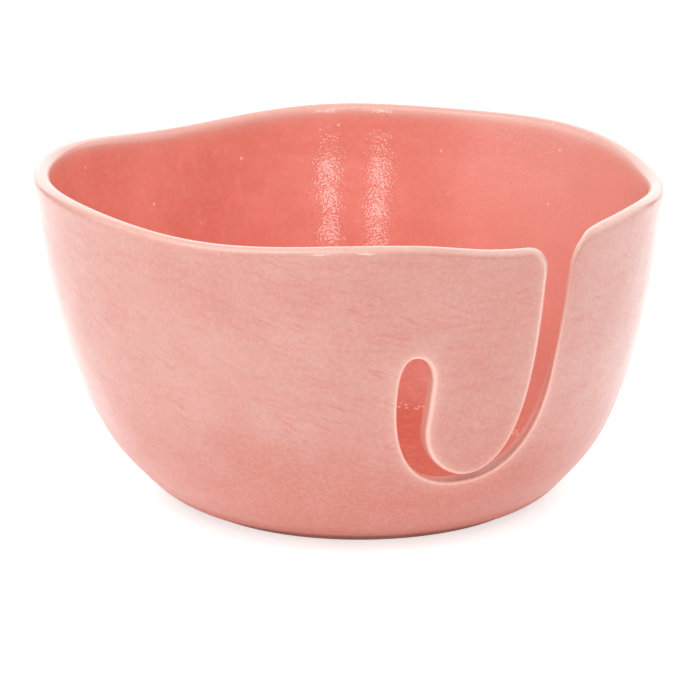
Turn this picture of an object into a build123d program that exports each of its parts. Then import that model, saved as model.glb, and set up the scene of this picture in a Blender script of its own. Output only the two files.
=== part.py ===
from build123d import *
import os
from math import atan2, cos, degrees, hypot, radians, sin

# A glazed stoneware yarn bowl: a wide rounded bowl on a low foot, with a J-shaped slot cut down
# through its wall. The yarn drops into the slot at the lip and is led round to the hook end.
# Millimetres. +Z is up, the table is at Z = 0, and the slot faces -Y.
# The origin is on the table, under the middle of the lip.

# Driving dimensions
LIP_HEIGHT = 82.5          # mean height of the lip
WALL = 4.3                 # finished wall at the lip, glaze included
FLOOR = 5.4                # finished floor, glaze included
GLAZE = 0.5                # thickness of each glaze coat
FOOT_HEIGHT = 1.6
FOOT_RADIUS = 45.1         # outside of the foot, where it meets the table
FOOT_WIDTH = 5.0           # of the ring's flat contact face
FOOT_DRAFT = 0.8           # each side of the ring widens by this much towards the body
LIP_ROUND = 1.8            # rounding of both edges of the lip and of the slot
CLAY_ROUND = 1.2           # the same edges on the clay, under the glaze
GLAZES_MEET = 0.35         # the coats meet on the outer rounding of the lip, at this share of the wall
MOUTH_ROUND = 5.0          # corner where the right side of the slot meets the lip
TIP_ROUND = 2.0            # upper corner of the tongue's bevelled tip
BEVEL_ROUND = 3.0          # lower corner of the same bevel

# Outside of the bowl: height, radius. It runs on below the foot's top and above the lip, where
# the bowl is trimmed later.
OUTSIDE = (
    (0.8, 47.0),
    (3.0, 50.9),
    (8.0, 56.2),
    (15.0, 62.1),
    (25.0, 67.5),
    (40.0, 72.7),
    (60.0, 76.8),
    (LIP_HEIGHT, 80.0),
    (95.0, 81.6),
)

# The bowl was shaped by hand, so neither its lip nor its side is a true circle.
# Number of waves round the bowl, their height, and the bearing in degrees of one crest
LIP_WAVES = ((1, 1.66, 175), (2, 1.07, 26), (3, 0.89, 38), (4, 0.52, 59), (5, 0.26, 24), (6, 0.71, 13))
SIDE_WAVES = ((2, 1.25, 21), (3, 0.94, 0), (4, 0.4, 73))
FOOT_SHIFT = 2.3           # the foot's centre lies this far from the middle of the lip
FOOT_BEARING = -25.0       # and in this direction

# The slot, in the upright plane that faces -Y: across, up. Each run is a straight line or a
# cubic curve that starts where the one before it ends.
BEVEL_TOP = (3.1, 97.0)    # the bevel of the tongue's tip, carried on above the lip
SLOT_TOP = (24.5, 97.0)
SLOT_RUNS = (
    ((17.0, 75.0),),                                      # down the bevel
    ((15.7, 48.6), (14.4, 22.1), (0.2, 22.1)),            # right edge of the tongue, to its lowest point
    ((-2.9, 22.1), (-12.35, 26.2), (-12.35, 37.2)),       # round under the tongue
    ((-12.1, 48.0),),                                     # up into the hook
    ((-12.1, 52.9), (-14.2, 55.65), (-16.9, 55.65)),      # the hook's blind end
    ((-19.7, 55.65), (-20.85, 52.5), (-20.85, 47.0)),     # and down its left side
    ((-20.85, 34.5), (-16.9, 19.9), (-1.4, 19.9)),        # the sweep to the slot's lowest point
    ((10.5, 19.9), (19.4, 28.5), (21.2, 48.0)),           # and up the right side
    (SLOT_TOP,),
    (BEVEL_TOP,),
)
CUT_START = -40.0          # the cutter runs outwards from inside the bowl
CUT_LENGTH = 60.0          # to well beyond its wall

AROUND = 24                # points on each level section of the wall
SECTIONS = 14              # level sections up the wall
FIELD = 94.0               # half the side of the square on which the wavy lip is drawn
FIELD_POINTS = 28          # points along that side


def waves(bearing, harmonics, growth=1.0):
    return sum(height * growth**n * cos(radians(n * (bearing - crest))) for n, height, crest in harmonics)


def axis_shift(up):
    """How far the bowl's axis stands from the origin, at a share of the height of the lip."""
    shift = FOOT_SHIFT * max(0.0, 1 - up) ** 2
    return shift * cos(radians(FOOT_BEARING)), shift * sin(radians(FOOT_BEARING))


def profile(share, depth):
    """The outside moved in square to itself, by a share of the wall's thickness and a depth."""
    outside = Edge.make_spline([Vector(radius, 0, height) for height, radius in OUTSIDE])
    points = []
    for i in range(SECTIONS):
        point = outside @ (i / (SECTIONS - 1))
        along = outside % (i / (SECTIONS - 1))
        thickness = WALL + (FLOOR - WALL) * max(0.0, 1 - point.Z / LIP_HEIGHT)
        inwards = share * thickness + depth
        points.append((point.Z + inwards * along.X, point.X - inwards * along.Z))
    return points


def section(height, radius):
    """A level section through the bowl: out of round by its side waves, and leaning on its foot."""
    up = height / LIP_HEIGHT
    shift_x, shift_y = axis_shift(up)
    points = []
    for i in range(AROUND):
        bearing = 360 / AROUND * i
        reach = radius + up * waves(bearing, SIDE_WAVES)
        x = reach * cos(radians(bearing)) + shift_x
        y = reach * sin(radians(bearing)) + shift_y
        points.append(Vector(x, y, height))
    return Wire([Edge.make_spline(points, periodic=True)])


def solid_of(levels):
    return Solid.make_loft([section(height, radius) for height, radius in levels])


def above_lip(drop):
    """Everything over the lip, whose waves fade towards the middle of the bowl."""
    rows = []
    for i in range(FIELD_POINTS):
        x = FIELD * (2 * i / (FIELD_POINTS - 1) - 1)
        row = []
        for j in range(FIELD_POINTS):
            y = FIELD * (2 * j / (FIELD_POINTS - 1) - 1)
            growth = hypot(x, y) / OUTSIDE[-2][1]
            height = LIP_HEIGHT - drop + waves(degrees(atan2(y, x)), LIP_WAVES, growth)
            row.append(Vector(x, y, height))
        rows.append(row)
    surface = Face.make_surface_from_array_of_points(rows, tol=0.001, max_deg=5)
    return Solid.extrude(surface, Vector(0, 0, 40))


def slot_runs(grown):
    """The slot's outline moved outwards by grown, as a list of runs of two or four corners."""
    runs = []
    start = BEVEL_TOP
    for run in SLOT_RUNS:
        runs.append([Vector(x, 0, z) for x, z in (start, *run)])
        start = run[-1]
    ways_out = [(run[0] - run[1]).normalized().cross(Vector(0, 1, 0)) for run in runs]
    ways_in = [(run[-2] - run[-1]).normalized().cross(Vector(0, 1, 0)) for run in runs]
    moved = []
    for i, run in enumerate(runs):
        last, following = ways_in[i - 1], ways_out[(i + 1) % len(runs)]
        first = run[0] + (last + ways_out[i]) * (grown / (1 + last.dot(ways_out[i])))
        final = run[-1] + (following + ways_in[i]) * (grown / (1 + following.dot(ways_in[i])))
        if len(run) == 4:
            stretch = (final - first).length / (run[3] - run[0]).length
            handles = [first + (run[1] - run[0]) * stretch, final + (run[2] - run[3]) * stretch]
            moved.append([first, *handles, final])
        else:
            moved.append([first, final])
    return moved


def slot(grown):
    """The prism that cuts the slot, with its outline moved outwards by grown."""
    edges = [Edge.make_bezier(*run) if len(run) == 4 else Edge.make_line(*run) for run in slot_runs(grown)]
    return Solid.extrude(Pos(0, CUT_START, 0) * Face(Wire(edges)), Vector(0, -CUT_LENGTH, 0))


def across_wall(solid, x, z):
    """The short edge that runs through the wall nearest to a place on the slot's outline."""
    short = [e for e in solid.edges() if WALL / 2 < e.length < 2 * WALL and abs((e @ 1 - e @ 0).Y) > WALL / 2]
    return min(short, key=lambda e: hypot(e.center().X - x, e.center().Z - z))


def bowl(inset, lip_round):
    """The bowl with every glazed surface drawn in by inset: 0 is the finished bowl."""
    solid = solid_of(profile(0, inset)) - solid_of(profile(1, -inset))
    below_foot = Pos(0, 0, FOOT_HEIGHT - CUT_LENGTH / 2) * Solid.make_box(
        2 * FIELD, 2 * FIELD, CUT_LENGTH, Plane((-FIELD, -FIELD, -CUT_LENGTH / 2))
    )
    solid = solid - below_foot - above_lip(inset) - slot(inset)
    corners = (
        (SLOT_RUNS[-3][-1][0] + 2, LIP_HEIGHT, MOUTH_ROUND),
        (SLOT_RUNS[0][0][0] - 4, LIP_HEIGHT, TIP_ROUND),
        (*SLOT_RUNS[0][0], BEVEL_ROUND),
    )
    for x, z, radius in corners:
        solid = solid.fillet(radius - inset, [across_wall(solid, x, z)])
    walls = solid.faces().sort_by(SortBy.AREA)[-2:]
    lip_edges = [e for wall in walls for e in wall.edges() if e.bounding_box().min.Z > 2 * FLOOR]
    return solid.fillet(lip_round, lip_edges)


def foot_ring():
    """The bare clay ring that the bowl stands on."""
    outer, inner = FOOT_RADIUS, FOOT_RADIUS - FOOT_WIDTH
    corners = [(inner, 0), (outer, 0), (outer + FOOT_DRAFT, FOOT_HEIGHT), (inner - FOOT_DRAFT, FOOT_HEIGHT)]
    half = Polyline(*[(x, 0, z) for x, z in corners], close=True)
    ring = revolve(Face(Wire(half.edges())), Axis.Z)
    shift_x, shift_y = axis_shift(0)
    return Pos(shift_x, shift_y, 0) * ring


def build():
    """Each physical layer of the bowl, by node name."""
    whole = bowl(0, LIP_ROUND)
    clay_body = bowl(GLAZE, CLAY_ROUND)
    coat = whole - clay_body
    inner_side = solid_of(profile(GLAZES_MEET, 0))
    return {
        "clay_body": clay_body,
        "foot_ring": foot_ring(),
        "inner_glaze": coat & inner_side,
        "outer_glaze": coat - inner_side,
    }


os.makedirs("parts", exist_ok=True)
for node, solid in build().items():
    export_step(solid, f"parts/{node}.step")
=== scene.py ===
"""A glazed yarn bowl with a J-shaped slot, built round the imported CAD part.

The two glazed skins and the clay under them are made here as dense meshes. They follow the driving
dimensions of the CAD nodes they stand for, apart from the ones set apart below.
Shapes are worked out in millimetres and turned into metres when a mesh is made.
"""

import math
from collections import namedtuple

import bpy
import numpy as np
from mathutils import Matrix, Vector, geometry, kdtree, noise


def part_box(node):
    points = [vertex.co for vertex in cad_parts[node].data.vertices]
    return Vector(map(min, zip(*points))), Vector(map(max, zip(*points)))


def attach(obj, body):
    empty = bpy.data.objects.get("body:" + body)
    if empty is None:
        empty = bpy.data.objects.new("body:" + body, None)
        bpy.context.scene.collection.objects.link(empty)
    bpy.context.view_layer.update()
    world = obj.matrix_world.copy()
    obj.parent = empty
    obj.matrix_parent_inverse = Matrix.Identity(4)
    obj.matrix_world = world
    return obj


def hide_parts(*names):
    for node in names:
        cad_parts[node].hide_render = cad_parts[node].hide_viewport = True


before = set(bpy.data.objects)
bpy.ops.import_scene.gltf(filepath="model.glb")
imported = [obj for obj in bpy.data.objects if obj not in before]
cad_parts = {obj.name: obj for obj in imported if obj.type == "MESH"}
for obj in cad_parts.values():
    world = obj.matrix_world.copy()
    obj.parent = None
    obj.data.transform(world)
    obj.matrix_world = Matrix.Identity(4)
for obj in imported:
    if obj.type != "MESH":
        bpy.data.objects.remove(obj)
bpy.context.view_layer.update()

MM = 0.001

# The bowl's shape, with the CAD part's numbers
LIP_HEIGHT = 82.5
WALL = 4.3
FLOOR = 5.4
GLAZE = 0.5
OUTSIDE = (
    (0.8, 47.0),
    (3.0, 50.9),
    (8.0, 56.2),
    (15.0, 62.1),
    (25.0, 67.5),
    (40.0, 72.7),
    (60.0, 76.8),
    (LIP_HEIGHT, 80.0),
    (95.0, 81.6),
)
LIP_WAVES = ((1, 1.66, 175), (2, 1.07, 26), (3, 0.89, 38), (4, 0.52, 59), (5, 0.26, 24), (6, 0.71, 13))
SIDE_WAVES = ((2, 1.25, 21), (3, 0.94, 0), (4, 0.4, 73))
FOOT_SHIFT = 2.3
FOOT_BEARING = math.radians(-25)
BEVEL_ROUND = 3.0
BEVEL = ((3.1, 97.0), (17.0, 75.0))            # across, up
SLOT_CURVES = (
    ((17.0, 75.0), (15.7, 48.6), (14.4, 22.1), (0.2, 22.1)),
    ((0.2, 22.1), (-2.9, 22.1), (-12.35, 26.2), (-12.35, 37.2)),
    ((-12.35, 37.2), (-12.27, 40.8), (-12.18, 44.4), (-12.1, 48.0)),
    ((-12.1, 48.0), (-12.1, 52.9), (-14.2, 55.65), (-16.9, 55.65)),
    ((-16.9, 55.65), (-19.7, 55.65), (-20.85, 52.5), (-20.85, 47.0)),
    ((-20.85, 47.0), (-20.85, 34.5), (-16.9, 19.9), (-1.4, 19.9)),
    ((-1.4, 19.9), (10.7, 19.7), (20.0, 28.2), (21.8, 48.0)),
)

# The slot's last curve above ends further right than in the CAD, and these three differ from it too
RIGHT_SIDE = ((21.8, 48.0), (27.2, 97.0))      # leans out further towards the lip
MOUTH_ROUND = 9.0                              # corner of the slot's right side and the lip
TIP_ROUND = 5.5                                # corner of the tongue's bevel and the lip

# The visual shape's own dimensions
FOOT_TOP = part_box("foot_ring")[1][2] / MM      # underside of the body, on top of the foot ring
FLOOR_MIDDLE = 2.9             # height of the middle of the floor's thickness
FLOOR_RADII = (0, 14, 28, 38)  # the middle line of the wall is level at these,
FLOOR_TURN = (45.2, FLOOR_MIDDLE + 0.5)        # passes here, at a radius and a height,
WALL_START = 3.2               # and follows the outside from where that is this high
WALL_ALONG = 47                # along the middle line, the floor has ended here
EVEN_RADIUS = 40               # the side waves fade out towards the middle, inside this radius
LIP_LEAN = 0.2                 # the wall leans, so the outside is this much lower than the lip's top
SLOT_EDGE_ROUND = 1.25         # rounding of the slot's edges
LIP_FLAT = 0.15                # half the width of the flat left on top of the lip's rounding
SLOT_FILL = 0.35               # the glaze builds up on the slot's faces by this much
HOOK_TURN = math.radians(4)    # the knife that cut the slot was level, and turned this far at the hook,
SHAFT_TURN = math.radians(15)  # this far in the shaft
MOUTH_TURN = math.radians(30)  # and this far at the mouth
SHAFT_ACROSS = (-6, 14)        # across: the hook's turn changes to the shaft's between these
MOUTH_UP = (38, 62)            # up: and the shaft's to the mouth's between these
CUT_FADE = 6                   # the cut's turn fades out over this much of the lip on each side
TIP_DROP = 1.0                 # the tongue's tip sags by this much
SAG_GROWS = (256, 274)         # bearings in degrees between which the sag grows,
SAG_FADES = (283, 287)         # and between which it is gone again
LIP_FADE = 4                   # the lip's full rounding turns into the slot's over this much on each side
OUTSIDE_POINTS = 400           # points on the curve through OUTSIDE
WALL_STRIDE = 14               # the middle line goes through one in so many of them
LINE_POINTS = 2400             # points on the middle line
LIP_POINTS = 1200              # points along the lip, before they are spread evenly
CURVE_POINTS = 60              # points on each curve of the slot
CORNER_POINTS = 16             # points round each rounded corner of the outline
CORNER_REACH = 3               # the lip's direction at a corner is taken over this much of it
SEARCH_STEPS = 12              # steps that find a place on the front of the bowl
EDGE_STEP = 0.5                # spacing of the points along the lip and the slot
EDGE_ROWS = 9                  # rows of points from the middle of the edge to the wall's face
OUTER_STEP = 1.1               # spacing of the points of the skins, in units of the flat plan
INNER_STEP = 1.2
CORE_STEP = 2.6                # the same for the clay
PLAN_START = 4.0               # the flat plan and the real floor have the same size inside this radius
BORDER_GAP = 0.72              # points of a filling keep this share of their spacing from its border
HEX_ROW = 0.866                # height of a row of evenly spread points, as a share of their spacing
SPREAD_REACH = 1.01            # points are tried out to this share of the plan's size
CURL = ((0.25, -0.1), (0.55, -0.06), (0.95, 0.12))   # rolled lower edge of the outer glaze: in, up

# Surface relief
STROKE_TWIST = 0.03            # turn of the slanting tool strokes, for each millimetre of height
GROOVE_DEPTH = 0.05            # of the level grooves outside
HAND_HEIGHT = 0.12             # soft unevenness left by the hands
INSIDE_HAND = 0.4              # the same inside, as a share of it
PEEL_HEIGHT = 0.012            # fine pitting of the inner glaze
SWELL = 1.3                    # the wall swells inwards by up to this much. The swell starts
SWELL_TOP = 4                  # this far below the lip,
SWELL_GROWS = 36               # grows downwards over this much height,
SWELL_LOW = (4, 34)            # and is gone between these heights, towards the floor
RELIEF_FADE = 5                # relief grows over this distance from the edge,
FOOT_FADE = 6                  # and outside over this distance from the foot

# Where the glaze runs thin round an edge, and the painted light on the slot's faces, by the angle from the
# edge's middle to the wall's face
THIN_SLOT_CORNER = (50, 34)    # the angle in degrees where it is thinnest, and how far that spreads
LIT_SLOT_FACE = (0.6, 40)     # painted light: share of pale on the slot's face, to show it lit, and how far it spreads
THIN_LIP_INSIDE = 0.8
THIN_LIP_OUTSIDE = (0.85, 25, 32)              # share, the angle it reaches, and how it fades after
THIN_SPREAD = 1.3              # millimetres over which it fades on the wall


def thickness(height):
    return WALL + (FLOOR - WALL) * np.maximum(0, 1 - height / LIP_HEIGHT)


def waves(bearing, harmonics):
    return sum(
        height * np.cos(count * (bearing - math.radians(crest)))
        for count, height, crest in harmonics
    )


def rise(values, low, high):
    """0 below low, 1 above high, and smooth between them."""
    share = np.clip((values - low) / (high - low), 0, 1)
    return share * share * (3 - 2 * share)


def smooth_curve(points, count):
    """Evenly spaced points on the natural cubic spline through the given points."""
    points = np.array(points, float)
    knots = np.concatenate([[0], np.cumsum(np.linalg.norm(np.diff(points, axis=0), axis=1))])
    gaps = np.diff(knots)
    slopes = np.diff(points, axis=0) / gaps[:, None]
    matrix = np.eye(len(knots))
    right = np.zeros_like(points)
    for i in range(1, len(gaps)):
        matrix[i, i - 1 : i + 2] = gaps[i - 1], 2 * (gaps[i - 1] + gaps[i]), gaps[i]
        right[i] = 6 * (slopes[i] - slopes[i - 1])
    bend = np.linalg.solve(matrix, right)
    at = np.linspace(0, knots[-1], count)
    i = np.clip(np.searchsorted(knots, at, "right") - 1, 0, len(gaps) - 1)
    b = ((at - knots[i]) / gaps[i])[:, None]
    a = 1 - b
    bow = ((a**3 - a) * bend[i] + (b**3 - b) * bend[i + 1]) * (gaps[i] ** 2)[:, None] / 6
    return a * points[i] + b * points[i + 1] + bow


def square_to(line):
    """Unit directions square to a line of radius and height, on its outer side."""
    along = np.gradient(line, axis=0)
    along /= np.linalg.norm(along, axis=1)[:, None]
    return np.column_stack([along[:, 1], -along[:, 0]])


class Profile:
    """The middle line of the wall, from the centre of the floor to above the lip."""

    def __init__(self):
        outside = smooth_curve([(radius, height) for height, radius in OUTSIDE], OUTSIDE_POINTS)
        middle = outside - square_to(outside) * thickness(outside[:, 1])[:, None] / 2
        wall = middle[outside[:, 1] > WALL_START][::WALL_STRIDE]
        floor = [(radius, FLOOR_MIDDLE) for radius in FLOOR_RADII]
        line = smooth_curve([*floor, FLOOR_TURN, *wall], LINE_POINTS)
        self.radius, self.height = line.T
        self.out_radius, self.out_height = square_to(line).T
        self.along = np.concatenate([[0], np.cumsum(np.linalg.norm(np.diff(line, axis=0), axis=1))])
        self.half = thickness(self.height) / 2
        self.outer_height = self.height + self.out_height * self.half
        start = np.searchsorted(self.radius, PLAN_START)
        steps = np.diff(self.along) / ((self.radius[1:] + self.radius[:-1]) / 2)
        grown = np.concatenate([[0], np.cumsum(steps)])
        self.plan = PLAN_START * np.exp(grown - grown[start])
        self.plan[:start] = self.radius[:start]
        self.wall_from = np.searchsorted(self.along, WALL_ALONG)

    def at(self, column, along):
        return np.interp(along, self.along, column)

    def of_height(self, height):
        """Distance along the line where the outside of the wall is at a height."""
        wall = slice(self.wall_from, None)
        return np.interp(height, self.outer_height[wall], self.along[wall])


PROFILE = Profile()


def place(bearing, along, out):
    """Points of the bowl: bearing, distance along the wall's middle line, distance out from it."""
    radius = PROFILE.at(PROFILE.radius, along) + out * PROFILE.at(PROFILE.out_radius, along)
    height = PROFILE.at(PROFILE.height, along) + out * PROFILE.at(PROFILE.out_height, along)
    up = height / LIP_HEIGHT
    reach = radius + up * waves(bearing, SIDE_WAVES) * np.minimum(1, radius / EVEN_RADIUS)
    shift = FOOT_SHIFT * np.maximum(0, 1 - up) ** 2
    x = reach * np.cos(bearing) + shift * math.cos(FOOT_BEARING)
    y = reach * np.sin(bearing) + shift * math.sin(FOOT_BEARING)
    return np.column_stack([x, y, height])


def front_bearing(across, height):
    """Bearing at which the outside of the front of the bowl passes a sideways position."""
    along = PROFILE.of_height(height)
    half = PROFILE.at(PROFILE.half, along)
    bearing = np.full(np.shape(across), -math.pi / 2)
    for _ in range(SEARCH_STEPS):
        spot = place(bearing, along, half)
        reach = np.hypot(spot[:, 0], spot[:, 1])
        bearing = bearing + (across - spot[:, 0]) / reach / np.maximum(0.3, -np.sin(bearing))
    return bearing


def lip_height(bearing):
    degrees = np.degrees(bearing) % 360
    sag = rise(degrees, *SAG_GROWS) * (1 - rise(degrees, *SAG_FADES))
    return LIP_HEIGHT - LIP_LEAN + waves(bearing, LIP_WAVES) - TIP_DROP * sag


def lip_crossing(low, high):
    """Where a straight side of the slot passes the lip."""
    height = LIP_HEIGHT
    for _ in range(SEARCH_STEPS):
        across = low[0] + (high[0] - low[0]) * (height - low[1]) / (high[1] - low[1])
        height = lip_height(front_bearing(np.array([across]), np.array([height])))[0]
    return np.array([across, height])


def lip_beside(across):
    """The point of the front lip at a sideways position."""
    height = LIP_HEIGHT
    for _ in range(SEARCH_STEPS // 2):
        height = lip_height(front_bearing(np.array([across]), np.array([height])))[0]
    return np.array([across, height])


def corner(before, at, after, radius):
    """Points round a corner that is rounded to a radius."""
    at = np.array(at)
    back = (before - at) / np.linalg.norm(before - at)
    forth = (after - at) / np.linalg.norm(after - at)
    half = math.acos(back @ forth) / 2
    middle = (back + forth) / np.linalg.norm(back + forth)
    centre = at + middle * radius / math.sin(half)
    start = at + back * radius / math.tan(half) - centre
    end = at + forth * radius / math.tan(half) - centre
    first = math.atan2(start[1], start[0])
    turn = (math.atan2(end[1], end[0]) - first + math.pi) % (2 * math.pi) - math.pi
    angles = first + turn * np.linspace(0, 1, CORNER_POINTS)
    return centre + radius * np.column_stack([np.cos(angles), np.sin(angles)])


def cubic(a, b, c, d, count=CURVE_POINTS):
    t = np.linspace(0, 1, count)[:, None]
    a, b, c, d = (np.array(p) for p in (a, b, c, d))
    return (1 - t) ** 3 * a + 3 * (1 - t) ** 2 * t * b + 3 * (1 - t) * t**2 * c + t**3 * d


def slot_outline():
    """The slot's outline as across and up, from the tongue's tip round to the lip on its right."""
    tip = lip_crossing(BEVEL[1], BEVEL[0])
    mouth = lip_crossing(*RIGHT_SIDE)
    curves = np.vstack([cubic(*curve)[1:] for curve in SLOT_CURVES])
    clear_of_bevel = np.linalg.norm(curves - np.array(BEVEL[1]), axis=1) > BEVEL_ROUND / 2
    return np.vstack([
        corner(lip_beside(tip[0] - CORNER_REACH), tip, np.array(BEVEL[1]), TIP_ROUND),
        corner(tip, np.array(BEVEL[1]), np.array(SLOT_CURVES[0][1]), BEVEL_ROUND),
        curves[clear_of_bevel],
        corner(np.array(RIGHT_SIDE[0]), mouth, lip_beside(mouth[0] + CORNER_REACH), MOUTH_ROUND),
    ])


def even_loop(bearing, along, extra, step):
    """A closed line on the wall, divided again into equal steps."""
    spots = place(bearing, along, 0)
    gaps = np.linalg.norm(np.diff(np.vstack([spots, spots[:1]]), axis=0), axis=1)
    reach = np.concatenate([[0], np.cumsum(gaps)])
    wanted = np.linspace(0, reach[-1], round(reach[-1] / step), endpoint=False)
    closed = [np.append(column, first) for column, first in
              ((bearing, bearing[0] + 2 * math.pi), (along, along[0]), (extra, extra[0]))]
    return [np.interp(wanted, reach, column) for column in closed]


def smoothed(values, reach):
    """Running mean of a closed series."""
    window = np.ones(2 * reach + 1) / (2 * reach + 1)
    return np.convolve(np.concatenate([values[-reach:], values, values[:reach]]), window, "valid")


class Edge:
    """The line along the lip and round the slot, where the material ends, and the rounding on it."""

    def __init__(self, step):
        slot = slot_outline()
        slot_along = PROFILE.of_height(slot[:, 1])
        slot_bearing = front_bearing(slot[:, 0], slot[:, 1]) + 2 * math.pi
        lip_bearing = np.linspace(slot_bearing[-1] - 2 * math.pi, slot_bearing[0], LIP_POINTS)[1:-1]
        lip_along = PROFILE.of_height(lip_height(lip_bearing))
        bearing = np.concatenate([lip_bearing, slot_bearing])
        along = np.concatenate([lip_along, slot_along])
        on_lip = np.ones(len(bearing))
        on_lip[len(lip_along) + CORNER_POINTS : -CORNER_POINTS] = 0
        in_cut = np.concatenate([np.zeros(len(lip_along)), np.ones(len(slot_along))])
        in_cut = even_loop(bearing, along, in_cut, step)[2]
        self.bearing, self.along, on_lip = even_loop(bearing, along, on_lip, step)
        self.on_lip = smoothed(on_lip, round(LIP_FADE / step))
        self.plan = on_plan(self.bearing, self.along)
        self.inwards = left_of(self.plan)
        self.scale = plan_scale(self.along)
        self.half = PROFILE.at(PROFILE.half, self.along)
        self.round = self.on_lip * (self.half - LIP_FLAT) + (1 - self.on_lip) * SLOT_EDGE_ROUND
        self.skew = smoothed(in_cut, round(CUT_FADE / step))[:, None] * self.cut_skew()

    def cut_skew(self):
        """How far the cut moves over the wall, on the plan, for each millimetre towards the outside."""
        cos, sin = np.cos(self.bearing), np.sin(self.bearing)
        out_radius = PROFILE.at(PROFILE.out_radius, self.along)
        out_height = PROFILE.at(PROFILE.out_height, self.along)
        across, _, height = place(self.bearing, self.along, 0).T
        in_shaft = rise(across, *SHAFT_ACROSS)
        at_mouth = rise(height, *MOUTH_UP)
        shaft_turn = SHAFT_TURN - HOOK_TURN + (MOUTH_TURN - SHAFT_TURN) * at_mouth
        turn = HOOK_TURN + in_shaft * shaft_turn
        knife = (-np.sin(turn), -np.cos(turn))
        away = knife[0] * cos + knife[1] * sin
        round_wall = -knife[0] * sin + knife[1] * cos
        facing = away * out_radius
        up_wall = -away * out_height
        moved = [up_wall * cos - round_wall * sin, up_wall * sin + round_wall * cos]
        return np.column_stack(moved) / facing[:, None]

    def row(self, k, side, inset=0.0):
        """Plan points and distances out of one row.

        Row 0 is the middle of the edge, and the last row is on the wall's face.
        """
        reach = self.half - inset
        bend = self.round - inset
        angle = math.pi / 2 * max(0, k - 1) / (EDGE_ROWS - 2)
        back = bend * (1 - math.cos(angle)) + inset - SLOT_FILL * (1 - self.on_lip)
        out = side * (reach - bend + bend * math.sin(angle)) * min(1, k)
        moved = self.inwards * back[:, None] + self.skew * (out - self.half)[:, None]
        return self.plan + moved / self.scale[:, None], out


def left_of(loop):
    """Unit directions to the left of a closed line on the plan."""
    ahead = np.roll(loop, -1, axis=0) - np.roll(loop, 1, axis=0)
    ahead /= np.linalg.norm(ahead, axis=1)[:, None]
    return np.column_stack([-ahead[:, 1], ahead[:, 0]])


def on_plan(bearing, along):
    """The flat plan of the wall, which keeps angles: bearing stays and the wall is spread outwards."""
    reach = np.interp(along, PROFILE.along, PROFILE.plan)
    return np.column_stack([reach * np.cos(bearing), reach * np.sin(bearing)])


def off_plan(points):
    """Bearing and distance along the wall of points on the plan."""
    reach = np.hypot(points[:, 0], points[:, 1])
    return np.arctan2(points[:, 1], points[:, 0]), np.interp(reach, PROFILE.plan, PROFILE.along)


def plan_scale(along):
    """Millimetres on the wall for one unit on the plan."""
    return PROFILE.at(PROFILE.radius, along) / np.maximum(1e-6, PROFILE.at(PROFILE.plan, along))


def foot_circle(step):
    """Points on the plan where the outside of the wall reaches the underside."""
    reach = np.interp(PROFILE.of_height(FOOT_TOP), PROFILE.along, PROFILE.plan)
    count = round(2 * math.pi * reach / step)
    angles = np.arange(count) * (2 * math.pi / count)
    return reach * np.column_stack([np.cos(angles), np.sin(angles)])


def spread(edge_points, foot_points, step):
    """Evenly spread points of the plan, clear of the edge and of the foot circle."""
    tree = kdtree.KDTree(len(edge_points) + len(foot_points))
    for i, point in enumerate(np.vstack([edge_points, foot_points])):
        tree.insert((*point, 0), i)
    tree.balance()
    reach = np.abs(edge_points).max()
    rows = int(reach / (step * HEX_ROW)) + 1
    columns = int(reach / step) + 2
    found = []
    for j in range(-rows, rows + 1):
        for i in range(-columns, columns + 1):
            x, y = step * (i + 0.5 * (j % 2)), step * HEX_ROW * j
            if math.hypot(x, y) < reach * SPREAD_REACH and tree.find((x, y, 0))[2] > BORDER_GAP * step:
                found.append((x, y))
    return np.array(found)


def triangulate(edge_points, foot_points, step):
    """Points and triangles that fill the plan inside the edge, the edge's points first."""
    inner = spread(edge_points, foot_points, step)
    points = np.vstack([edge_points, foot_points, inner])
    loops = []
    for start, count in ((0, len(edge_points)), (len(edge_points), len(foot_points))):
        loops += [(start + i, start + j) for i, j in ring_pairs(count)]
    made = geometry.delaunay_2d_cdt([Vector(p) for p in points], loops, [], 0, 1e-6)
    found, triangles = np.array(made[0]), np.array(made[2])
    if len(found) != len(points) or np.abs(found - points).max() > 1e-3:
        raise ValueError("the points of the plan came back changed")
    middles = points[triangles].mean(axis=1)
    _, beside = distance_from(edge_points, middles)
    inside = ((middles - edge_points[beside]) * left_of(edge_points)[beside]).sum(axis=1) > 0
    return points, triangles[inside].tolist()


def ring_pairs(count):
    return [(i, (i + 1) % count) for i in range(count)]


def distance_from(line, points):
    """Distance from each point to the nearest point of a line, and which point that is."""
    tree = kdtree.KDTree(len(line))
    for i, point in enumerate(line):
        tree.insert((*point, 0), i)
    tree.balance()
    hits = [tree.find((*point, 0)) for point in points]
    return np.array([hit[2] for hit in hits]), np.array([hit[1] for hit in hits])


def noise_at(points, size, seed):
    """Smooth noise from -1 to 1 with features of a given size in each direction."""
    scaled = points / np.array(size) + seed
    return np.array([noise.noise(Vector(point)) for point in scaled])


def throwing_rings(spots):
    """How deep the broken level grooves left by the potter's rib are, from 0 to 1."""
    wander = noise_at(spots, (13, 13, 9), 41.2)
    level = noise_at(spots + wander[:, None] * (0, 0, 1.5), (10, 10, 3.4), 27.7)
    where = rise(noise_at(spots, (26, 26, 16), 61.9), -0.2, 0.4)
    return rise(level, 0.1, 0.6) * where


def outer_relief(spots):
    """Height of the outside's relief at points of the smooth bowl, and how deep its grooves are."""
    grooves = throwing_rings(spots)
    hand = noise_at(spots, (17, 17, 10), 8.8) + 0.4 * noise_at(spots, (6, 6, 4), 3.3)
    return HAND_HEIGHT * hand - GROOVE_DEPTH * grooves, grooves


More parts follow.
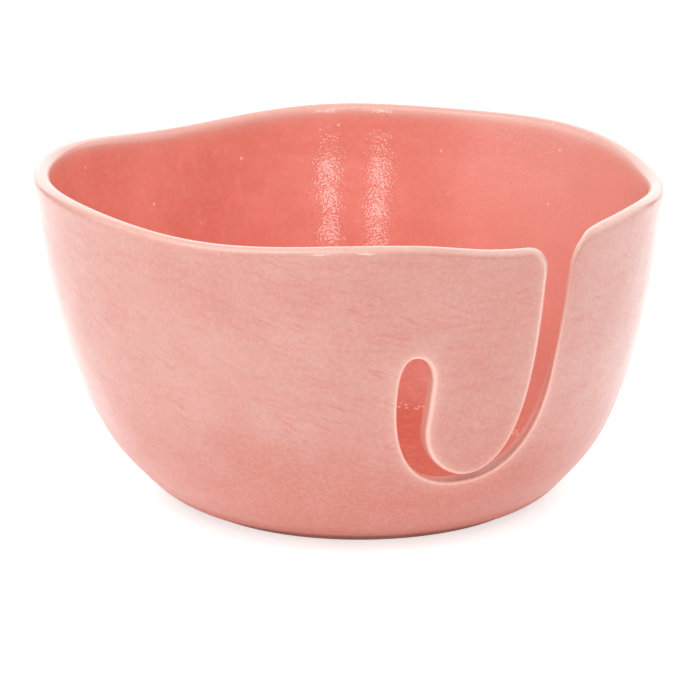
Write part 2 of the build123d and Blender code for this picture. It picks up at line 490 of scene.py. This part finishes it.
def inner_relief(spots):
    """Height of the inside's relief at points of the smooth bowl, and where it is pitted."""
    peel = noise_at(spots, (2.1, 2.1, 1.9), 5.5)
    hand = noise_at(spots, (19, 19, 6), 14.2)
    height = spots[:, 2]
    swell = rise(LIP_HEIGHT - SWELL_TOP - height, 0, SWELL_GROWS) * rise(height, *SWELL_LOW)
    relief = SWELL * swell + INSIDE_HAND * HAND_HEIGHT * hand + PEEL_HEIGHT * peel
    return relief, rise(peel, 0.15, 0.6)


def grid_faces(rows, columns, first=0):
    """Faces of a strip of closed rows of points."""
    faces = []
    for k in range(rows - 1):
        for i in range(columns):
            j = (i + 1) % columns
            a, b = first + k * columns, first + (k + 1) * columns
            faces.append((a + i, a + j, b + j, b + i))
    return faces


def bell(value, width):
    return math.exp(-((value / width) ** 2))


def thin_glaze_and_lit_face(edge, k, side):
    """Where the glaze runs thin on one row: over the lip, and on the slot's faces, most at their corners;
    the slot's faces are also painted pale as light on them.
    """
    angle = 90 * max(0, k - 1) / (EDGE_ROWS - 2)
    thinnest, spread_over = THIN_SLOT_CORNER
    lit_face_share, lit_face_width = LIT_SLOT_FACE
    # painted light: the slot's faces made pale as if lit
    on_face = max(bell(angle - thinnest, spread_over), lit_face_share * bell(angle, lit_face_width))
    lip_share, reached, fading = THIN_LIP_OUTSIDE
    over_lip = THIN_LIP_INSIDE if side < 0 else lip_share * bell(max(0, angle - reached), fading)
    return edge.on_lip * over_lip + (1 - edge.on_lip) * on_face


def wall_face(border, inner, side, relief):
    """Points of the wall's face with its relief and marks, and how far each is from which border point."""
    bearing, along = off_plan(inner)
    half = PROFILE.at(PROFILE.half, along)
    away, beside = distance_from(border, inner)
    away = away * plan_scale(along)
    fade = rise(away, 0, RELIEF_FADE)
    if side > 0:
        fade = fade * rise(along, along[0], along[0] + FOOT_FADE)
    height, marks = relief(place(bearing, along, side * half))
    return place(bearing, along, side * (half + height * fade)), marks * fade, away, beside


def curl_rows(rim, foot_points):
    """Rows of points of the outer glaze's rolled lower edge, which starts at the rim."""
    bearing, _ = off_plan(foot_points)
    inwards = -np.column_stack([np.cos(bearing), np.sin(bearing), 0 * bearing])
    return [rim + inwards * back + (0, 0, up) for back, up in CURL]


def coat(edge, side, step, relief):
    """One glaze skin as points, faces and two values for each point; side is 1 outside and -1 inside."""
    rows = [edge.row(k, side) for k in range(EDGE_ROWS)]
    foot_count = len(foot_circle(step))
    points, triangles = triangulate(rows[-1][0], foot_circle(step), step)
    columns = len(edge.plan)
    inner = points[columns:]
    wall, wall_marks, away, beside = wall_face(rows[-1][0], inner, side, relief)
    spots = [*(place(*off_plan(row), out) for row, out in rows), wall]
    # how thin the glaze runs, with the painted light on the slot's faces
    thin = [thin_glaze_and_lit_face(edge, k, side) for k in range(EDGE_ROWS)]
    thin.append(thin[-1][beside] * np.exp(-away / THIN_SPREAD))
    marks = [np.zeros(EDGE_ROWS * columns), wall_marks]
    shift = (EDGE_ROWS - 1) * columns
    if side > 0:
        outside = np.hypot(*points.T) > np.hypot(*inner[0]) - 1e-6
        triangles = [triangle for triangle in triangles if outside[list(triangle)].all()]
    faces = grid_faces(EDGE_ROWS, columns)
    faces += [tuple(shift + i for i in triangle) for triangle in triangles]
    if side > 0:
        first = shift + columns
        curl = first + len(inner)
        spots += curl_rows(wall[:foot_count], inner[:foot_count])
        faces += [(first + i, first + j, curl + j, curl + i) for i, j in ring_pairs(foot_count)]
        faces += grid_faces(len(CURL), foot_count, curl)
        thin.append(np.zeros(len(CURL) * foot_count))
        marks.append(thin[-1])
        faces = [face[::-1] for face in faces]
    return np.vstack(spots), faces, np.concatenate(thin), np.concatenate(marks)


def point_normals(spots, faces):
    """Area-weighted normals of the points, not yet of unit length."""
    found = np.zeros_like(spots)
    for size in (3, 4):
        group = np.array([face for face in faces if len(face) == size])
        across = np.cross(
            spots[group[:, 2]] - spots[group[:, 0]],
            spots[group[:, -1]] - spots[group[:, 1]],
        )
        for k in range(size):
            np.add.at(found, group[:, k], across)
    return found


def mesh_object(name, spots, faces, normals=None, values=None):
    """An object made of points in millimetres, without the points that no face uses."""
    used = np.unique(np.concatenate([np.array(face) for face in faces]))
    place_of = np.full(len(spots), -1)
    place_of[used] = np.arange(len(used))
    mesh = bpy.data.meshes.new(name)
    corners = [place_of[list(face)].tolist() for face in faces]
    mesh.from_pydata((spots[used] * MM).tolist(), [], corners)
    for key, column in (values or {}).items():
        attached = mesh.attributes.new(key, "FLOAT", "POINT")
        attached.data.foreach_set("value", column[used].astype(np.float32))
    mesh.shade_smooth()
    if normals is not None:
        mesh.normals_split_custom_set_from_vertices(normals[used].tolist())
    made = bpy.data.objects.new(name, mesh)
    bpy.context.collection.objects.link(made)
    return made


def glaze_skins():
    """The outer and the inner glaze, which meet without a step along the middle of the edge."""
    edge = Edge(EDGE_STEP)
    coats = [coat(edge, 1, OUTER_STEP, outer_relief), coat(edge, -1, INNER_STEP, inner_relief)]
    normals = [point_normals(spots, faces) for spots, faces, _, _ in coats]
    seam = slice(0, len(edge.plan))
    shared = normals[0][seam] + normals[1][seam]
    made = []
    names = ("outer_glaze_skin", "inner_glaze_skin")
    for name, (spots, faces, thin, marks), normal in zip(names, coats, normals):
        normal[seam] = shared
        normal /= np.maximum(1e-12, np.linalg.norm(normal, axis=1))[:, None]
        made.append(mesh_object(name, spots, faces, normal, {"thin": thin, "marks": marks}))
    return made


def clay_core():
    """The clay under the glaze, bare on the underside."""
    edge = Edge(2 * EDGE_STEP)
    columns = len(edge.plan)
    spots, faces = [place(*off_plan(edge.row(0, 1, GLAZE)[0]), 0 * edge.half)], []
    for side in (-1, 1):
        rows = [edge.row(k, side, GLAZE) for k in range(1, EDGE_ROWS)]
        points, triangles = triangulate(rows[-1][0], foot_circle(CORE_STEP), CORE_STEP)
        bearing, along = off_plan(points[columns:])
        first = sum(len(group) for group in spots)
        spots += [place(*off_plan(row), out) for row, out in rows]
        spots.append(place(bearing, along, side * (PROFILE.at(PROFILE.half, along) - GLAZE)))
        shift = first + (len(rows) - 1) * columns
        made = [(i, j, first + j, first + i) for i, j in ring_pairs(columns)]
        made += grid_faces(len(rows), columns, first)
        made += [tuple(shift + i for i in triangle) for triangle in triangles]
        faces += [face[::-side] for face in made]
    spots = np.vstack(spots)
    spots[:, 2] = np.maximum(spots[:, 2], FOOT_TOP)
    return mesh_object("clay_core", spots, faces)


def node(tree, kind, inputs, **settings):
    """A shader node with its inputs linked or set."""
    made = tree.nodes.new(kind)
    for key, value in settings.items():
        setattr(made, key, value)
    for key, value in inputs.items():
        if isinstance(value, bpy.types.NodeSocket):
            tree.links.new(value, made.inputs[key])
        else:
            made.inputs[key].default_value = value
    return made


def new_material(name):
    made = bpy.data.materials.new(name)
    made.use_nodes = True
    tree = made.node_tree
    return made, tree, tree.nodes["Principled BSDF"]


def linear(red, green, blue):
    """A colour given as 0 to 255 on a screen, as the shader's linear values."""
    channels = [value / 255 for value in (red, green, blue)]
    return (*[c / 12.92 if c <= 0.04045 else ((c + 0.055) / 1.055) ** 2.4 for c in channels], 1)


def blend_colour(tree, share, first, second):
    made = node(tree, "ShaderNodeMix", {}, data_type="RGBA")
    for socket, value in ((0, share), (6, first), (7, second)):
        if isinstance(value, bpy.types.NodeSocket):
            tree.links.new(value, made.inputs[socket])
        else:
            made.inputs[socket].default_value = value
    return made.outputs[2]


def remap(tree, value, low, high, to_low=0.0, to_high=1.0):
    """A value between low and high, turned smoothly into one between two others."""
    ends = {"Value": value, "From Min": low, "From Max": high, "To Min": to_low, "To Max": to_high}
    return node(tree, "ShaderNodeMapRange", ends, interpolation_type="SMOOTHSTEP").outputs["Result"]


def noise_value(tree, coordinates, scale, detail=3.0, roughness=0.5):
    settings = {"Vector": coordinates, "Scale": scale, "Detail": detail, "Roughness": roughness}
    return node(tree, "ShaderNodeTexNoise", settings).outputs["Fac"]


def spots_value(tree, coordinates, scale):
    """Distance to the nearest of many scattered points."""
    settings = {"Vector": coordinates, "Scale": scale}
    return node(tree, "ShaderNodeTexVoronoi", settings).outputs["Distance"]


def bumped(tree, height, distance):
    """The surface's direction with a bump of a height, in metres for a height of 1."""
    settings = {"Height": height, "Strength": 1.0, "Distance": distance}
    return node(tree, "ShaderNodeBump", settings).outputs[0]


def times(tree, first, second):
    return node(tree, "ShaderNodeMath", {0: first, 1: second}, operation="MULTIPLY").outputs[0]


def plus(tree, first, second):
    return node(tree, "ShaderNodeMath", {0: first, 1: second}, operation="ADD").outputs[0]


def millimetres(tree, stretch=(1, 1, 1)):
    """The object's own coordinates in millimetres, squeezed or stretched."""
    coordinates = node(tree, "ShaderNodeTexCoord", {}).outputs["Object"]
    scale = [1000 * s for s in stretch]
    return node(tree, "ShaderNodeMapping", {"Vector": coordinates, "Scale": scale}).outputs[0]


def attribute(tree, name):
    return node(tree, "ShaderNodeAttribute", {}, attribute_name=name).outputs["Fac"]


def stroke_value(tree, position, up):
    """Short strokes of the potter's rib that run slanting round the bowl, from 0 to 1."""
    turned = node(tree, "ShaderNodeVectorRotate",
                  {"Vector": position, "Angle": times(tree, up, STROKE_TWIST)}).outputs[0]
    drawn = node(tree, "ShaderNodeMapping", {"Vector": turned, "Scale": (1, 1, 0.7)}).outputs[0]
    strokes = remap(tree, noise_value(tree, drawn, 0.45, 2, 0.55), 0.54, 0.7)
    where = remap(tree, noise_value(tree, position, 0.06, 2, 0.5), 0.4, 0.6, 0.35, 1)
    return times(tree, strokes, where)


def speck_value(tree, position, up):
    """Pale specks of the inside: a ring of them where the floor turns up, and a few in the wall."""
    dots = spots_value(tree, position, 0.9)
    band = times(tree, remap(tree, up, *SPECKS_START), remap(tree, up, *SPECKS_END, 1, 0))
    ring = times(tree, remap(tree, dots, 0.28, 0.42, 1, 0), band)
    few = spots_value(tree, position, 0.11)
    return plus(tree, times(tree, ring, 0.7), remap(tree, few, 0.03, 0.055, 0.8, 0))


# What sets one glaze apart from the other: its colours, how far each mark and the painted light show, and
# its gloss
Glaze = namedtuple("Glaze", (
    "name", "main", "deep", "marked",
    "marks", "streaks", "strokes", "peel", "milky",
    "roughness", "coat", "coat_roughness", "coat_bump",
))
THIN = (0.8, 0.475, 0.4, 1)                    # both glazes where they run thin over an edge, and the painted light on the slot's faces
PAINTED_LIGHT_COLOUR = (0.74, 0.35, 0.3, 1)                   # painted light: the inside is made paler towards one side, as if lit more there
PAINTED_LIGHT_SIDE = (0.9, -0.42, 0)                   # which side that is
SPECK = (0.95, 0.62, 0.48, 1)
PAINTED_FOOT_SHADOW = (0.14, 0.045, 0.035, 1)            # painted shadow: a dark band low on the glaze, just above where it ends at the foot, for the shade where the bowl meets the floor
BASE_BUMP = 0.00004                            # metres, under the clear coat

# Between these heights the glaze
FOOT_SHADOW_FADES = (2.0, 3.9)                        # stops carrying the painted shadow, above where it ends at the foot,
DULL_FADES = (2.5, 7)                          # stops being dull,
DEEP_AND_SHADE_FADES = (5, 45)                           # goes from its deep colour, partly glaze pooled deeper and partly painted shade, to its main one,
COAT_GROWS = (4, 45)                           # and gets its clear coat
SPECKS_START, SPECKS_END = (6.3, 6.7), (7.1, 7.5)    # the ring of pale specks inside
PINK = Glaze(
    name="pink_glaze",
    main=(0.52, 0.24, 0.2, 1), deep=(0.47, 0.14, 0.102, 1), marked=(0.5, 0.14, 0.103, 1),
    marks=0.15, streaks=0.35, strokes=0.75, peel=0.4, milky=0.0,
    roughness=(0.26, 0.36), coat=0.55, coat_roughness=0.045, coat_bump=0.00005,
)
CORAL = Glaze(
    name="coral_glaze",
    main=(0.89, 0.25, 0.188, 1), deep=(0.68, 0.122, 0.072, 1), marked=(0.88, 0.32, 0.26, 1),
    marks=0.3, streaks=0.1, strokes=0.0, peel=1.0, milky=0.6,
    roughness=(0.4, 0.5), coat=0.8, coat_roughness=0.02, coat_bump=0.00004,
)


def glaze_colour(tree, kind, position, up, clouds, brushed, strokes):
    """Cloudy colour, deeper low down, partly as painted shade, and in the marks, and pale where the glaze
    runs thin; with painted light on the slot's faces and on one side of the inside, and a painted shadow at
    the foot.
    """
    grain = noise_value(tree, position, 0.9, 4, 0.65)
    # darker low down: partly glaze pooled deeper, partly painted shade
    pooled_and_shaded = plus(tree, remap(tree, up, *DEEP_AND_SHADE_FADES, 0.85, 0), remap(tree, clouds, 0.3, 0.7, 0, 0.5))
    # painted light: paler towards one side of the inside
    side = node(tree, "ShaderNodeVectorMath", {0: position, 1: PAINTED_LIGHT_SIDE}, operation="DOT_PRODUCT")
    painted_lit = remap(tree, side.outputs["Value"], 0, 60, 0, kind.milky)
    streaks = times(tree, remap(tree, brushed, 0.51, 0.66), kind.streaks)
    # thin glaze over the edges, and painted light on the slot's faces
    thin = times(tree, attribute(tree, "thin"), remap(tree, grain, 0.2, 0.6, 0.75, 0.95))
    colour = kind.main
    for share, other in (
        (pooled_and_shaded, kind.deep),
        (painted_lit, PAINTED_LIGHT_COLOUR),
        (streaks, kind.marked),
        (strokes, kind.marked),
        (remap(tree, grain, 0.35, 0.75, 0, 0.16), THIN),
        (times(tree, attribute(tree, "marks"), kind.marks), kind.marked),
        (thin, THIN),
        # painted shadow at the foot
        (remap(tree, up, *FOOT_SHADOW_FADES, 0.9, 0), PAINTED_FOOT_SHADOW),
    ):
        colour = blend_colour(tree, share, colour, other)
    if kind.milky:
        colour = blend_colour(tree, speck_value(tree, position, up), colour, SPECK)
    return colour


def glaze(kind):
    """A fired glaze with a clear glossy coat, which is dull near the foot."""
    made, tree, shader = new_material(kind.name)
    position = millimetres(tree)
    up = node(tree, "ShaderNodeSeparateXYZ", {"Vector": position}).outputs["Z"]
    clouds = noise_value(tree, position, 0.045, 5, 0.6)
    brushed = noise_value(tree, millimetres(tree, (0.12, 0.12, 1.0)), 0.5, 4, 0.6)
    strokes = times(tree, stroke_value(tree, position, up), kind.strokes)
    colour = glaze_colour(tree, kind, position, up, clouds, brushed, strokes)
    tree.links.new(colour, shader.inputs["Base Color"])
    dull_foot = remap(tree, up, *DULL_FADES, 0.6, 0)
    rough = plus(tree, remap(tree, clouds, 0.25, 0.75, *kind.roughness), dull_foot)
    tree.links.new(rough, shader.inputs["Roughness"])
    tree.links.new(remap(tree, up, *COAT_GROWS, 0, kind.coat), shader.inputs["Coat Weight"])
    shader.inputs["Coat Roughness"].default_value = kind.coat_roughness
    shader.inputs["IOR"].default_value = 1.5
    pitted = times(tree, noise_value(tree, position, 1.5, 1.5, 0.5), kind.peel)
    height = plus(tree, pitted, times(tree, brushed, 0.5 * kind.streaks))
    height = plus(tree, height, times(tree, strokes, -0.25))
    for socket, distance in (("Normal", BASE_BUMP), ("Coat Normal", kind.coat_bump)):
        tree.links.new(bumped(tree, height, distance), shader.inputs[socket])
    return made


def bare_clay():
    """Unglazed fired stoneware: warm red-brown, sandy, with dark iron specks."""
    made, tree, shader = new_material("bare_clay")
    position = millimetres(tree)
    clouds = noise_value(tree, position, 0.06, 4)
    sand = noise_value(tree, position, 1.6, 4, 0.7)
    iron = remap(tree, spots_value(tree, position, 0.35), 0.05, 0.11, 0.8, 0)
    colour = blend_colour(tree, remap(tree, clouds, 0.3, 0.7), linear(158, 98, 82), linear(138, 80, 66))
    colour = blend_colour(tree, remap(tree, sand, 0.45, 0.8, 0, 0.5), colour, linear(178, 122, 102))
    colour = blend_colour(tree, iron, colour, linear(92, 52, 42))
    tree.links.new(colour, shader.inputs["Base Color"])
    tree.links.new(remap(tree, sand, 0.3, 0.8, 0.72, 0.92), shader.inputs["Roughness"])
    tree.links.new(bumped(tree, sand, 0.0002), shader.inputs["Normal"])
    return made


# The studio, in metres
FLOOR_REACH = 6.0
FLOOR_GLOW = 0.6
WORLD_GLOW = 0.42
BOWL_MIDDLE = Vector((0, 0, 0.05))             # what the lights face


def soft_box(name, place_at, size, power):
    """A rectangular studio light that faces the middle of the bowl."""
    lamp = bpy.data.lights.new(name, "AREA")
    lamp.shape = "RECTANGLE"
    lamp.size, lamp.size_y = size
    lamp.energy = power
    made = bpy.data.objects.new(name, lamp)
    made.location = place_at
    made.rotation_euler = (BOWL_MIDDLE - Vector(place_at)).to_track_quat("-Z", "Y").to_euler()
    bpy.context.collection.objects.link(made)


def studio_floor():
    """A wide pale sheet that the bowl stands on. It glows a little, so that it comes out white."""
    mesh = bpy.data.meshes.new("floor")
    corners = [(-FLOOR_REACH, -FLOOR_REACH, 0), (FLOOR_REACH, -FLOOR_REACH, 0),
               (FLOOR_REACH, FLOOR_REACH, 0), (-FLOOR_REACH, FLOOR_REACH, 0)]
    mesh.from_pydata(corners, [], [(0, 1, 2, 3)])
    made = bpy.data.objects.new("floor", mesh)
    bpy.context.collection.objects.link(made)
    material, _, shader = new_material("floor")
    shader.inputs["Base Color"].default_value = (0.8, 0.8, 0.8, 1)
    shader.inputs["Roughness"].default_value = 0.7
    shader.inputs["Emission Color"].default_value = (1, 1, 1, 1)
    shader.inputs["Emission Strength"].default_value = FLOOR_GLOW
    mesh.materials.append(material)


# The camera stands one metre off, at the photograph's angle
CAMERA_BEARING = math.radians(-115)
CAMERA_AWAY = 1.0
CAMERA_HEIGHT = 0.3304
CAMERA_DOWN = math.radians(16.41)
LENS = 208.9


def towards(bearing, away, height):
    """A point at a bearing from the camera's own, a distance off and a height."""
    angle = CAMERA_BEARING + math.radians(bearing)
    return (away * math.cos(angle), away * math.sin(angle), height)


def camera():
    made = bpy.data.objects.new("camera", bpy.data.cameras.new("camera"))
    made.location = towards(0, CAMERA_AWAY, CAMERA_HEIGHT)
    made.rotation_euler = (math.pi / 2 - CAMERA_DOWN, 0, CAMERA_BEARING + math.pi / 2)
    made.data.lens = LENS
    bpy.context.collection.objects.link(made)
    bpy.context.scene.camera = made


def soft_boxes():
    """Name, place, width and height in metres, and watts of each studio light."""
    return (
        ("strip_left", towards(-10.5, 1.25, 0.6), (0.13, 0.68), 2.3),
        ("strip_right", towards(10.5, 1.25, 0.6), (0.13, 0.68), 2.3),
        ("top", (0.0, 0.1, 1.3), (1.3, 1.3), 3),
        ("overhead", towards(-35, 0.6, 1.15), (1.4, 0.3), 5),
        ("side_left", towards(-75, 1.3, 0.6), (1.6, 1.6), 8),
        ("side_right", towards(105, 1.3, 0.6), (1.6, 1.6), 7.5),
        ("backdrop", towards(180, 1.6, 0.75), (2.4, 1.4), 13),
    )


def lights():
    for name, place_at, size, power in soft_boxes():
        soft_box(name, place_at, size, power)
    world = bpy.data.worlds.new("studio")
    bpy.context.scene.world = world
    world.use_nodes = True
    background = world.node_tree.nodes["Background"]
    background.inputs["Color"].default_value = (1, 1, 1, 1)
    background.inputs["Strength"].default_value = WORLD_GLOW


outer_skin, inner_skin = glaze_skins()
core = clay_core()
outer_skin.data.materials.append(glaze(PINK))
inner_skin.data.materials.append(glaze(CORAL))
clay = bare_clay()
core.data.materials.append(clay)
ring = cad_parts["foot_ring"]
ring.data.materials.clear()
ring.data.materials.append(clay)

for piece, replaced, finish in (
    (outer_skin, "outer_glaze", "pink_glaze"),
    (inner_skin, "inner_glaze", "coral_glaze"),
    (core, "clay_body", "bare_clay"),
):
    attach(piece, "root")
    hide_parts(replaced)

studio_floor()
lights()
camera()
scene = bpy.context.scene
scene.view_settings.view_transform = "Standard"
